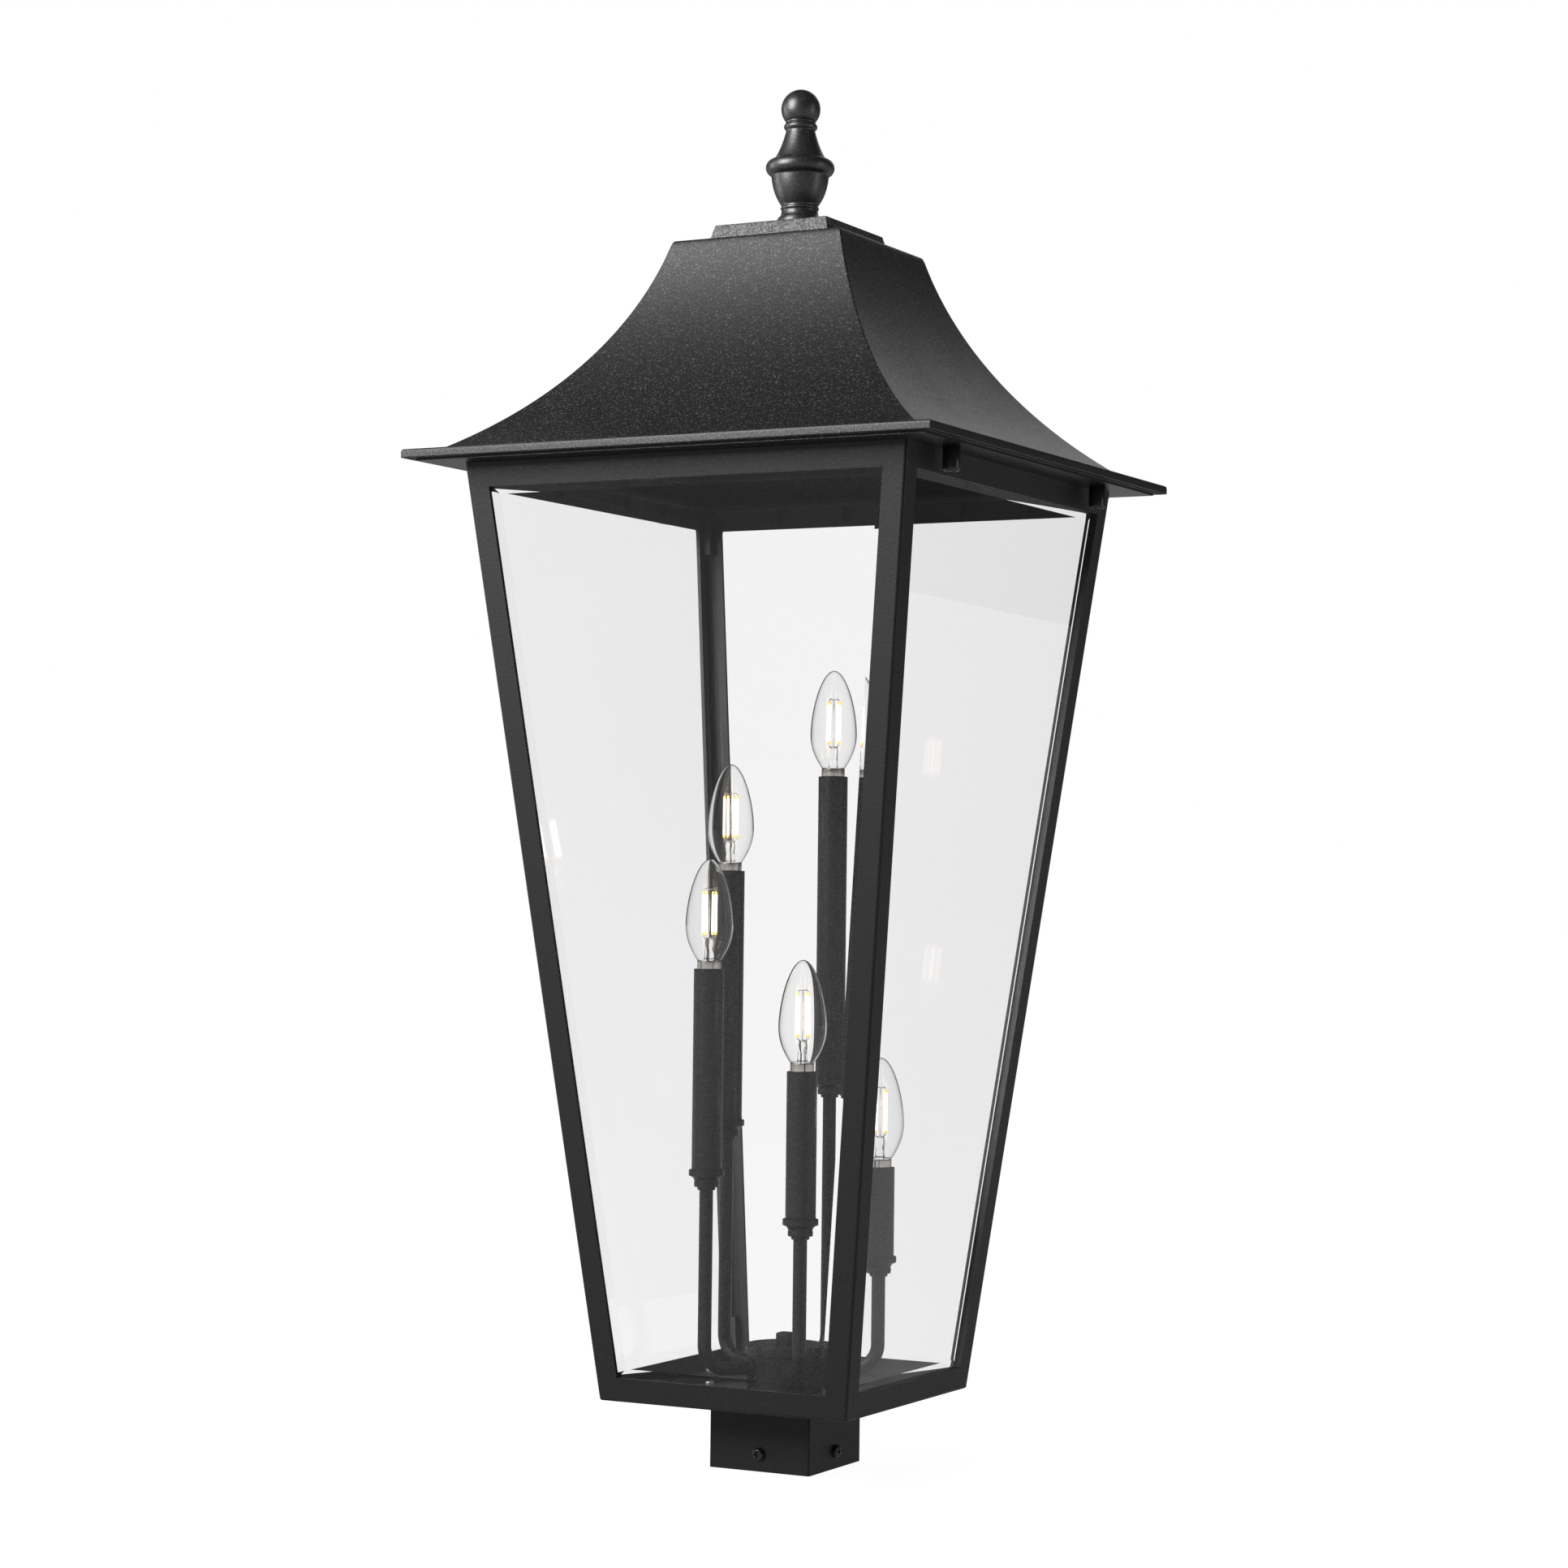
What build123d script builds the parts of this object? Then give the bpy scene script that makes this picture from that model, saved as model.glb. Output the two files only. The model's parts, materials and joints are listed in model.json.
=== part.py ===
from build123d import *

import os
from math import asin, atan, cos, degrees, radians, sin, sqrt

# Post lantern. All sizes in millimetres. Origin: centre of the collar's mouth, +Z up the post.

# --- post collar and its screws ---
post_width = 76.2
post_clearance = 0.7
collar_wall = 2.2
collar_corner = 1.5
socket_depth = 50.0
collar_top_plate = 3.0
collar_screw_height = 12.7
collar_screw_thread = 5.0
collar_screw_length = 8.0
collar_screw_head = 9.4
collar_screw_head_height = 3.4
screw_play = 0.3
recess_length = 0.55
recess_width = 0.14
recess_depth = 0.6

# --- glazed cage: four faces that lean outwards ---
cage_base_half = 100.0
cage_top_half = 177.0
cage_height = 675.0
cage_wall = 3.0
cage_flange = 17.5
cage_corner = 2.0
ledge_width = 15.0
ledge_thickness = 2.0
corner_block_height = 36.0
corner_block_play = 0.3
base_plate_thickness = 2.5
base_plate_play = 0.7
base_screw_thread = 4.0
base_screw_head = 7.5
base_screw_head_height = 2.6
base_screw_spacing = 96.0
ledge_root = 0.6

# --- glass ---
glass_thickness = 3.2
glass_edge = 1.6
glass_overlap = 7.0
glass_bevel = 12.7
clip_width = 7.0
clip_thickness = 1.2
clip_rise = 3.0
clip_places = (-107.0, -50.0, 50.0, 107.0)
block_places = (-65.0, 65.0)
block_width = 12.0

# --- soffit and roof ---
soffit_gap = 8.2
soffit_thickness = 1.5
eave_overhang = 33.2
eave_depth = 6.5
eave_border = 18.2
roof_rise = 162.6
roof_top_half = 69.0
bell_radius = 278.0
roof_sheet = 2.0
roof_ring_gap = 4.2
roof_ring_width = 30.0
cap_bottom_half = 49.4
cap_top_half = 46.1
cap_height = 13.8

# --- roof studs and the thumb nuts on them ---
stud_diameter = 6.0
stud_offset = 10.0
stud_spacing = 256.0
stud_reach = 11.0
stud_hole_play = 0.5
roof_nut_diameter = 12.5
roof_nut_height = 17.0
roof_nut_bore_depth = 13.0
roof_nut_play = 0.2
roof_nut_chamfer = 0.8
roof_nut_rim = 2.0
roof_nut_bar = 1.6
roof_nut_recess = 1.2

# --- finial: radii and heights above the cap ---
finial_foot_radius = 17.0
finial_foot_height = 6.0
finial_neck_radius = 14.1
finial_neck_height = 14.3
finial_cup_base_height = 17.0
finial_cup_radius = 21.5
finial_cup_height = 40.7
finial_ring_radius = 25.6
finial_ring_tube = 6.3
finial_ring_height = 47.0
finial_cone_height = 53.3
finial_throat_radius = 10.8
finial_throat_height = 74.4
finial_bead_radius = 12.5
finial_bead_tube = 2.6
finial_bead_height = 77.5
finial_ball_radius = 14.6
finial_ball_height = 91.0
finial_swell = 2.5
finial_hollow = 1.2
finial_stud = 8.0
finial_stud_reach = 12.0
finial_nut_size = 13.0
finial_nut_height = 6.5

# --- hub that carries the lamp arms ---
hub_diameter = 56.0
hub_height = 31.0
hub_wall = 1.5
lid_wall = 1.7
lid_play = 0.3
lid_rim = 6.0
knob_width = 12.5
knob_height = 8.5
knob_screw = 5.0
knob_engagement = 5.0
nipple_diameter = 10.0
nipple_bore = 7.0
locknut_size = 16.0
locknut_height = 3.5
coupler_size = 14.0
coupler_height = 16.0
coupler_gap = 0.5
coupler_engagement = 6.0
coupler_wire_hole = 4.6

# --- lamp arms, cups and candle sleeves: five lamps stepping up round the hub ---
lamp_count = 5
lamp_circle = 66.0
first_lamp_angle = 18.0
arm_height = 72.0
arm_diameter = 10.0
arm_wall = 1.2
arm_bend = 18.0
arm_inner_end = 20.0
arm_ferrule_rim = 1.7
arm_ferrule_thickness = 2.8
arm_nut_rim = 1.5
arm_nut_thickness = 3.0
first_seat_height = 154.5
seat_step = 31.5
first_sleeve_length = 65.0
sleeve_step = 40.5
sleeve_diameter = 22.0
sleeve_wall = 1.2
sleeve_seat_depth = 3.0
cup_rim = 1.9
cup_ring_height = 5.0
cup_step = 0.5
cup_waist_inset = 1.75
cup_cove_height = 6.5
cup_cove_depth = 0.8
cup_foot_rim = 1.8
cup_foot_height = 3.2
socket_play = 0.4
socket_length = 35.0
socket_bore_depth = 20.0

# --- candle bulbs: heights from the top of the metal collar ---
bulb_thread = 12.0
bulb_thread_length = 16.0
bulb_thread_play = 0.3
bulb_contact = 6.0
bulb_contact_height = 1.5
bulb_collar = 17.4
bulb_collar_height = 6.0
bulb_diameter = 35.0
bulb_neck = 17.0
bulb_length = 74.0
bulb_belly_height = 25.5
bulb_neck_flare = 4.5
bulb_neck_rise = 6.5
bulb_belly_run = 10.5
bulb_shoulder_height = 45.0
bulb_tip_width = 19.0
bulb_wall = 0.8
bulb_stem = 7.0
bulb_stem_height = 17.0
filament_diameter = 1.6
filament_length = 32.0
filament_circle = 4.6
filament_count = 4
spider_thickness = 1.0
spider_wire = 1.0

# --- heights and widths that follow ---
collar_width = post_width + 2 * (post_clearance + collar_wall)
socket_width = post_width + 2 * post_clearance
collar_height = socket_depth + collar_top_plate
cage_bottom = collar_height - ledge_thickness
cage_top = cage_bottom + cage_height
lean = (cage_top_half - cage_base_half) / cage_height
tilt = atan(lean)
wall_across = cage_wall / cos(tilt)
eave_half = cage_top_half + eave_overhang
soffit_half = eave_half - soffit_gap
roof_ring_half = eave_half - roof_ring_gap
sill_top = cage_bottom + cage_flange * cos(tilt)
head_bottom = cage_top - cage_flange * cos(tilt)
base_plate_bottom = cage_bottom + ledge_thickness
base_plate_top = base_plate_bottom + base_plate_thickness
soffit_top = cage_top + soffit_thickness
eave_top = soffit_top + eave_depth
roof_top = eave_top + roof_rise
cap_top = roof_top + cap_height
hub_top = base_plate_top + hub_height
lid_top = hub_top + hub_wall
hub_radius = hub_diameter / 2
lid_radius = hub_radius + lid_play + lid_wall
nipple_bottom = socket_depth
coupler_bottom = base_plate_top + hub_wall + locknut_height + coupler_gap
coupler_top = coupler_bottom + coupler_height
nipple_top = coupler_bottom + coupler_engagement
stud_x = cage_top_half + stud_offset
stud_places = [(x * stud_x, y * stud_spacing / 2) for x, y in ((1, -1), (1, 1), (-1, 1), (-1, -1))]
arm_ferrule = arm_diameter + 2 * arm_ferrule_rim
arm_nut_size = arm_diameter + 2 * arm_nut_rim
cup_diameter = sleeve_diameter + 2 * cup_rim
cup_waist = sleeve_diameter - 2 * cup_waist_inset
cup_foot = arm_diameter + 2 * cup_foot_rim

os.makedirs("parts", exist_ok=True)


def save(piece, name):
    """Label a finished piece and write it to its own file."""
    piece.label = name
    export_step(piece, f"parts/{name}.step")


def cage_half(z):
    """Half the cage's outer width at a height."""
    return cage_base_half + (z - cage_bottom) * lean


def face_plane(depth):
    """Plane of the leaning -Y face, moved inwards, with its y up the slope."""
    inward = Vector(0, cos(tilt), sin(tilt))
    foot = Vector(0, -cage_base_half, cage_bottom)
    return Plane(origin=foot + inward * depth, x_dir=(-1, 0, 0), z_dir=inward)


def up_slope(z, depth=0.0):
    """How far up a face plane a height is reached."""
    return (z - cage_bottom - depth * sin(tilt)) / cos(tilt)


def square_at(z, half):
    """Square face centred on the axis at a height."""
    with BuildSketch(Plane.XY.offset(z)) as square:
        Rectangle(2 * half, 2 * half)
    return square.sketch.face()


def leaning_square(low, high, inset, mode=Mode.ADD):
    """Square block that follows the cage's sides at one inset, between two heights."""
    loft([square_at(z, cage_half(z) - inset) for z in (low, high)], ruled=True, mode=mode)


def leaning_slab(side_view, low, high, inset, both, mode):
    """Slab right through the cage whose ends keep one inset from the cage's sides."""
    low_half, high_half = cage_half(low) - inset, cage_half(high) - inset
    with BuildSketch(side_view) as slab:
        Polygon((-low_half, low), (low_half, low), (high_half, high), (-high_half, high), align=None)
    extrude(slab.sketch, amount=2 * cage_top_half, both=both, mode=mode)


def cage_skin(skin):
    """The whole cage's leaning wall, rounded at its outer edges."""
    leaning_square(cage_bottom, cage_top, 0)
    hips = skin.edges().filter_by(Axis.X, reverse=True).filter_by(Axis.Y, reverse=True)
    feet = skin.edges().group_by(Axis.Z)[0]
    fillet(hips + feet, radius=cage_corner)
    leaning_square(cage_bottom, cage_top, wall_across, Mode.SUBTRACT)


def keep_corner(low, high, inset):
    """Keep only the +X -Y corner, out to the inset on both faces."""
    leaning_slab(Plane.XZ, low, high, inset, True, Mode.SUBTRACT)
    leaning_slab(Plane.YZ, low, high, inset, True, Mode.SUBTRACT)
    with BuildSketch(Plane.XY.offset(low)) as corner:
        Rectangle(cage_top_half, cage_top_half, align=(Align.MIN, Align.MAX))
    extrude(corner.sketch, amount=high - low, mode=Mode.INTERSECT)


def corner_block(low, high):
    """Square block that stiffens the inside of a corner post between two heights."""
    with BuildPart() as block:
        leaning_square(low, high, wall_across)
        keep_corner(low, high, cage_flange - glass_overlap - corner_block_play)
    return block.part


def pan_screw(seat, thread, length, head, head_height):
    """Pan-head screw with a cross recess. Its head stands on the seat plane."""
    with BuildPart(seat) as screw:
        Cylinder(head / 2, head_height, align=(Align.CENTER, Align.CENTER, Align.MIN))
        crown = screw.faces().sort_by(Axis(seat.origin, seat.z_dir))[-1]
        fillet(crown.edges(), radius=recess_depth * head_height)
        Cylinder(thread / 2, length, align=(Align.CENTER, Align.CENTER, Align.MAX))
        with BuildSketch(seat.offset(head_height)):
            Rectangle(recess_length * head, recess_width * head)
            Rectangle(recess_width * head, recess_length * head)
        extrude(amount=-recess_depth * head_height, mode=Mode.SUBTRACT)
    return screw.part


def drill(plane, diameter, depth):
    """Round hole cut from a plane, against its direction."""
    with BuildSketch(plane) as mouth:
        Circle(diameter / 2)
    extrude(mouth.sketch, amount=-depth, mode=Mode.SUBTRACT)


# ---------------------------------------------------------------- collar and base
with BuildPart() as post_collar:
    with BuildSketch():
        RectangleRounded(collar_width, collar_width, collar_corner)
    extrude(amount=collar_height)
    with BuildSketch():
        Rectangle(socket_width, socket_width)
    extrude(amount=socket_depth, mode=Mode.SUBTRACT)
    drill(Plane.XY.offset(collar_height), nipple_diameter, collar_top_plate)
    for side_view in (Plane.XZ, Plane.YZ):
        with BuildSketch(side_view):
            with Locations((0, collar_screw_height)):
                Circle(collar_screw_thread / 2 + screw_play)
        extrude(amount=collar_width, both=True, mode=Mode.SUBTRACT)
save(post_collar.part, "post_collar")

collar_face = Plane(origin=(0, -collar_width / 2, collar_screw_height), x_dir=(1, 0, 0), z_dir=(0, -1, 0))
set_screw = pan_screw(
    collar_face, collar_screw_thread, collar_screw_length, collar_screw_head, collar_screw_head_height
)
for side in range(4):
    save(set_screw.rotate(Axis.Z, 90 * side), f"set_screw_{side + 1}")

base_plate_half = cage_half(base_plate_bottom) - wall_across - base_plate_play
ledge_inner = cage_base_half - ledge_width - wall_across / 2
base_screw_line = (base_plate_half + ledge_inner) / 2
side_screws = [(x * base_screw_spacing / 2, y * base_screw_line) for x in (-1, 1) for y in (-1, 1)]
base_screw_places = side_screws + [(y, x) for x, y in side_screws]
with BuildPart() as base_plate:
    with BuildSketch(Plane.XY.offset(base_plate_bottom)):
        Rectangle(2 * base_plate_half, 2 * base_plate_half)
        Circle(nipple_diameter / 2, mode=Mode.SUBTRACT)
        with Locations(*base_screw_places):
            Circle(base_screw_thread / 2, mode=Mode.SUBTRACT)
    extrude(amount=base_plate_thickness)
save(base_plate.part, "base_plate")

with BuildPart() as base_plate_screws:
    for x, y in base_screw_places:
        seat = Plane(origin=(x, y, base_plate_top))
        length = base_plate_thickness + ledge_thickness
        add(pan_screw(seat, base_screw_thread, length, base_screw_head, base_screw_head_height))
save(base_plate_screws.part, "base_plate_screws")

# ---------------------------------------------------------------- cage frame
with BuildPart() as corner_post:
    cage_skin(corner_post)
    keep_corner(cage_bottom, cage_top, cage_flange)
    add(corner_block(base_plate_top, base_plate_top + corner_block_height))
    add(corner_block(cage_top - corner_block_height, cage_top))
for corner in range(4):
    save(corner_post.part.rotate(Axis.Z, 90 * corner), f"corner_post_{corner + 1}")

with BuildPart() as sill:
    cage_skin(sill)
    leaning_slab(Plane.XZ, cage_bottom, sill_top, cage_flange, False, Mode.INTERSECT)
    with BuildSketch(Plane.XY.offset(cage_bottom)):
        with Locations((0, -ledge_inner)):
            Rectangle(
                2 * (cage_base_half - cage_flange),
                cage_base_half - wall_across + ledge_root - ledge_inner,
                align=(Align.CENTER, Align.MAX),
            )
    extrude(amount=ledge_thickness)
    for x in (-base_screw_spacing / 2, base_screw_spacing / 2):
        hole_top = Plane(origin=(x, -base_screw_line, base_plate_bottom))
        drill(hole_top, base_screw_thread, ledge_thickness)
with BuildPart() as bottom_rails:
    with PolarLocations(0, 4):
        add(sill.part)
save(bottom_rails.part, "bottom_rails")

head_ledge_half = cage_half(cage_top - ledge_thickness) - cage_flange
soffit_opening_half = cage_top_half - ledge_width - wall_across / 2
with BuildPart() as head_rail:
    cage_skin(head_rail)
    leaning_slab(Plane.XZ, head_bottom, cage_top, cage_flange, False, Mode.INTERSECT)
    with BuildSketch(Plane.XY.offset(cage_top)):
        with Locations((0, -soffit_opening_half)):
            Rectangle(
                2 * head_ledge_half,
                cage_half(cage_top - ledge_thickness) - wall_across + ledge_root - soffit_opening_half,
                align=(Align.CENTER, Align.MAX),
            )
    extrude(amount=-ledge_thickness)
with BuildPart() as top_rails:
    with PolarLocations(0, 4):
        add(head_rail.part)
save(top_rails.part, "top_rails")

# ---------------------------------------------------------------- glass and what holds it
glass_low = up_slope(sill_top) - glass_overlap
glass_high = up_slope(head_bottom) + glass_overlap


def glass_outline(inset):
    """The leaning pane's outline, drawn in from its own edge, in the face's plane."""
    low, high = glass_low + inset, glass_high - inset
    edge = cage_flange - glass_overlap + inset
    low_half = cage_half(cage_bottom + low * cos(tilt)) - edge
    high_half = cage_half(cage_bottom + high * cos(tilt)) - edge
    Polygon((-low_half, low), (low_half, low), (high_half, high), (-high_half, high), align=None)


with BuildPart() as glass_pane:
    with BuildSketch(face_plane(cage_wall)):
        glass_outline(0)
    extrude(amount=glass_edge)
    with BuildSketch(face_plane(cage_wall + glass_edge)):
        glass_outline(0)
    with BuildSketch(face_plane(cage_wall + glass_thickness)):
        glass_outline(glass_bevel)
    loft(ruled=True)
for side in range(4):
    save(glass_pane.part.rotate(Axis.Z, 90 * side), f"glass_pane_{side + 1}")

clip_back = cage_wall + glass_thickness + clip_thickness
clip_top = up_slope(cage_top - ledge_thickness, clip_back)
clip_low = up_slope(head_bottom) + clip_rise
block_top = glass_low
block_foot = up_slope(base_plate_top, clip_back)
with BuildPart() as pane_clips:
    with BuildSketch(face_plane(cage_wall + glass_edge)):
        for x in clip_places:
            with Locations((x, clip_low + clip_width / 2)):
                Circle(clip_width / 2)
                Rectangle(clip_width, clip_top - clip_low - clip_width / 2, align=(Align.CENTER, Align.MIN))
    extrude(amount=glass_thickness - glass_edge + clip_thickness)
    with BuildSketch(face_plane(cage_wall)):
        for x in block_places:
            with Locations((x, block_foot)):
                Rectangle(block_width, block_top - block_foot, align=(Align.CENTER, Align.MIN))
    extrude(amount=glass_thickness + clip_thickness)
    add(glass_pane.part, mode=Mode.SUBTRACT)
    add(base_plate.part, mode=Mode.SUBTRACT)
with BuildPart() as glass_clips:
    with PolarLocations(0, 4):
        add(pane_clips.part)
save(glass_clips.part, "glass_clips")

# ---------------------------------------------------------------- soffit and roof
with BuildPart() as soffit_plate:
    with BuildSketch(Plane.XY.offset(cage_top)):
        Rectangle(2 * soffit_half, 2 * soffit_half)
        Rectangle(2 * soffit_opening_half, 2 * soffit_opening_half, mode=Mode.SUBTRACT)
        with Locations(*stud_places):
            Circle(stud_diameter / 2 + stud_hole_play, mode=Mode.SUBTRACT)
    extrude(amount=soffit_thickness)
save(soffit_plate.part, "soffit_plate")

# the bell's side is one arc about a point outside the roof
border_edge = eave_half - eave_border
chord_x, chord_z = roof_top_half - border_edge, roof_rise
half_chord = sqrt(chord_x**2 + chord_z**2) / 2
arc_reach = sqrt(bell_radius**2 - half_chord**2) / (2 * half_chord)
bell_x = (border_edge + roof_top_half) / 2 + chord_z * arc_reach
bell_z = eave_top + roof_rise / 2 - chord_x * arc_reach


def below_centre(rise, radius):
    """Angle below the arc's centre line at which it has dropped by a rise, in degrees."""
    return degrees(asin(rise / radius))


def bell_section(side_view, sheet):
    """Side view of the roof, drawn in from its outer skin by a sheet's thickness."""
    radius = bell_radius + sheet
    foot_z, top_z = eave_top - sheet, roof_top - sheet
    foot_x = bell_x - sqrt(radius**2 - (bell_z - foot_z) ** 2)
    top_x = bell_x - sqrt(radius**2 - (bell_z - top_z) ** 2)
    foot_angle, top_angle = below_centre(bell_z - foot_z, radius), below_centre(bell_z - top_z, radius)
    with BuildSketch(side_view) as section:
        with BuildLine():
            Polyline(
                (0, soffit_top),
                (eave_half - sheet, soffit_top),
                (eave_half - sheet, foot_z),
                (foot_x, foot_z),
            )
            CenterArc((bell_x, bell_z), radius, 180 + foot_angle, top_angle - foot_angle)
            Polyline((top_x, top_z), (0, top_z), (0, soffit_top))
        make_face()
        mirror(about=Plane.YZ)
    return section.sketch


def bell(sheet):
    """Four-sided bell-shaped block, drawn in from the roof's outer skin."""
    with BuildPart() as block:
        extrude(bell_section(Plane.XZ, sheet), amount=eave_half, both=True)
        extrude(bell_section(Plane.YZ, sheet), amount=eave_half, both=True, mode=Mode.INTERSECT)
    return block.part


with BuildPart() as roof_shell:
    add(bell(0))
    add(bell(roof_sheet), mode=Mode.SUBTRACT)
    drill(Plane.XY.offset(roof_top), finial_stud, roof_sheet)
save(roof_shell.part, "roof_shell")

ring_thickness = eave_top - roof_sheet - soffit_top
with BuildPart() as roof_ring:
    with BuildSketch(Plane.XY.offset(soffit_top)):
        Rectangle(2 * roof_ring_half, 2 * roof_ring_half)
        inner = 2 * (roof_ring_half - roof_ring_width)
        Rectangle(inner, inner, mode=Mode.SUBTRACT)
    extrude(amount=ring_thickness)
    with BuildSketch(Plane.XY.offset(soffit_top)):
        with Locations(*stud_places):
            Circle(stud_diameter / 2)
    extrude(amount=-(soffit_thickness + stud_reach))
save(roof_ring.part, "roof_ring")

with BuildPart() as roof_nut:
    Cylinder(roof_nut_diameter / 2, roof_nut_height, align=(Align.CENTER, Align.CENTER, Align.MAX))
    chamfer(roof_nut.faces().sort_by(Axis.Z)[0].edges(), length=roof_nut_chamfer)
    drill(Plane.XY, stud_diameter + 2 * roof_nut_play, roof_nut_bore_depth)
    with BuildSketch(Plane.XY.offset(-roof_nut_height)):
        Circle(roof_nut_diameter / 2 - roof_nut_rim)
        Rectangle(roof_nut_diameter, roof_nut_bar, mode=Mode.SUBTRACT)
    extrude(amount=roof_nut_recess, mode=Mode.SUBTRACT)
for corner, (x, y) in enumerate(stud_places):
    save(roof_nut.part.moved(Location((x, y, cage_top))), f"roof_nut_{corner + 1}")

with BuildPart() as cap_plate:
    loft([square_at(roof_top, cap_bottom_half), square_at(cap_top, cap_top_half)], ruled=True)
    drill(Plane.XY.offset(cap_top), finial_stud, cap_height)
save(cap_plate.part, "cap_plate")

ring_core = finial_ring_radius - finial_ring_tube
bead_core = finial_bead_radius - finial_bead_tube
foot_top = (finial_foot_radius, finial_foot_height)
neck_low = (finial_neck_radius, finial_neck_height)
neck_top = (finial_neck_radius, finial_cup_base_height)
cup_lip = (finial_cup_radius, finial_cup_height)
cone_foot = (ring_core, finial_cone_height)
throat = (finial_throat_radius, finial_throat_height)
with BuildPart() as finial:
    with BuildSketch(Plane.XZ):
        with BuildLine():
            Polyline((0, 0), (finial_foot_radius, 0), foot_top, neck_low, neck_top)
            SagittaArc(neck_top, cup_lip, -finial_swell)
            Polyline(cup_lip, (ring_core, finial_ring_height), cone_foot)
            SagittaArc(cone_foot, throat, finial_hollow)
            Polyline(throat, (bead_core, finial_bead_height), (0, finial_ball_height), (0, 0))
        make_face()
        with Locations((ring_core, finial_ring_height)):
            Circle(finial_ring_tube)
        with Locations((bead_core, finial_bead_height)):
            Circle(finial_bead_tube)
        with Locations((0, finial_ball_height)):
            Circle(finial_ball_radius)
        height = finial_ball_height + finial_ball_radius
        Rectangle(finial_ring_radius, height, align=(Align.MIN, Align.MIN), mode=Mode.INTERSECT)
    revolve(axis=Axis.Z)
    stud_length = cap_height + roof_sheet + finial_stud_reach
    Cylinder(finial_stud / 2, stud_length, align=(Align.CENTER, Align.CENTER, Align.MAX))
save(finial.part.moved(Location((0, 0, cap_top))), "finial")

with BuildPart() as finial_nut:
    with BuildSketch(Plane.XY.offset(roof_top - roof_sheet)):
        RegularPolygon(finial_nut_size / 2, 6, major_radius=False)
        Circle(finial_stud / 2, mode=Mode.SUBTRACT)
    extrude(amount=-finial_nut_height)
save(finial_nut.part, "finial_nut")

# ---------------------------------------------------------------- hub
lamp_angles = [first_lamp_angle - 360 / lamp_count * step for step in range(lamp_count)]


def radial_plane(angle):
    """Upright plane through the axis: its x runs outwards at an angle and its y runs up."""
    a = radians(angle)
    return Plane(origin=(0, 0, 0), x_dir=(cos(a), sin(a), 0), z_dir=(sin(a), -cos(a), 0))


def arm_section(angle, distance):
    """Plane across an arm's line that faces outwards, at a distance from the axis."""
    a = radians(angle)
    centre = (distance * cos(a), distance * sin(a), arm_height)
    return Plane(origin=centre, x_dir=(0, 0, 1), z_dir=(cos(a), sin(a), 0))


def radial_disc(angle, distance, diameter):
    """Disc that faces outwards on an arm's line, at a distance from the axis."""
    with BuildSketch(arm_section(angle, distance)) as disc:
        Circle(diameter / 2)
    return disc.sketch


with BuildPart() as hub_canister:
    with BuildSketch(Plane.XY.offset(base_plate_top)):
        Circle(hub_radius)
    extrude(amount=hub_height)
    with BuildSketch(Plane.XY.offset(hub_top)):
        Circle(hub_radius - hub_wall)
    extrude(amount=-(hub_height - hub_wall), mode=Mode.SUBTRACT)
    drill(Plane.XY.offset(base_plate_top + hub_wall), nipple_diameter, hub_wall)
    for angle in lamp_angles:
        extrude(radial_disc(angle, arm_inner_end, arm_diameter), amount=hub_radius, mode=Mode.SUBTRACT)
save(hub_canister.part, "hub_canister")

with BuildPart() as hub_lid:
    with BuildSketch(Plane.XY.offset(lid_top)):
        Circle(lid_radius)
    extrude(amount=-lid_rim)
    fillet(hub_lid.edges().group_by(Axis.Z)[-1], radius=0.5 * hub_wall)
    with BuildSketch(Plane.XY.offset(hub_top)):
        Circle(hub_radius + lid_play)
    extrude(amount=-lid_rim, mode=Mode.SUBTRACT)
    drill(Plane.XY.offset(lid_top), knob_screw, hub_wall)
save(hub_lid.part, "hub_lid")

with BuildPart() as hub_knob:
    with BuildSketch(Plane.XY.offset(lid_top)):
        RectangleRounded(knob_width, knob_width, knob_width / 4)
    extrude(amount=knob_height)
    fillet(hub_knob.faces().sort_by(Axis.Z)[-1].edges(), radius=knob_height / 6)
    with BuildSketch(Plane.XY.offset(lid_top)):
        Circle(knob_screw / 2)
    extrude(amount=-(lid_top - coupler_top + knob_engagement))
save(hub_knob.part, "hub_knob")

with BuildPart() as centre_nipple:
    with BuildSketch(Plane.XY.offset(nipple_bottom)):
        Circle(nipple_diameter / 2)
        Circle(nipple_bore / 2, mode=Mode.SUBTRACT)
    extrude(amount=nipple_top - nipple_bottom)
save(centre_nipple.part, "centre_nipple")

with BuildPart() as stem_coupler:
    with BuildSketch(Plane.XY.offset(coupler_bottom)):
        RegularPolygon(coupler_size / 2, 6, major_radius=False)
    extrude(amount=coupler_height)
    drill(Plane.XY.offset(nipple_top), nipple_diameter, coupler_engagement)
    drill(Plane.XY.offset(coupler_top), knob_screw, coupler_height - coupler_engagement)
    wire_hole_height = (nipple_top + coupler_top - knob_engagement) / 2
    with BuildSketch(Plane.XZ):
        with Locations((0, wire_hole_height)):
            Circle(coupler_wire_hole / 2)
    extrude(amount=coupler_size, both=True, mode=Mode.SUBTRACT)
save(stem_coupler.part, "stem_coupler")

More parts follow.
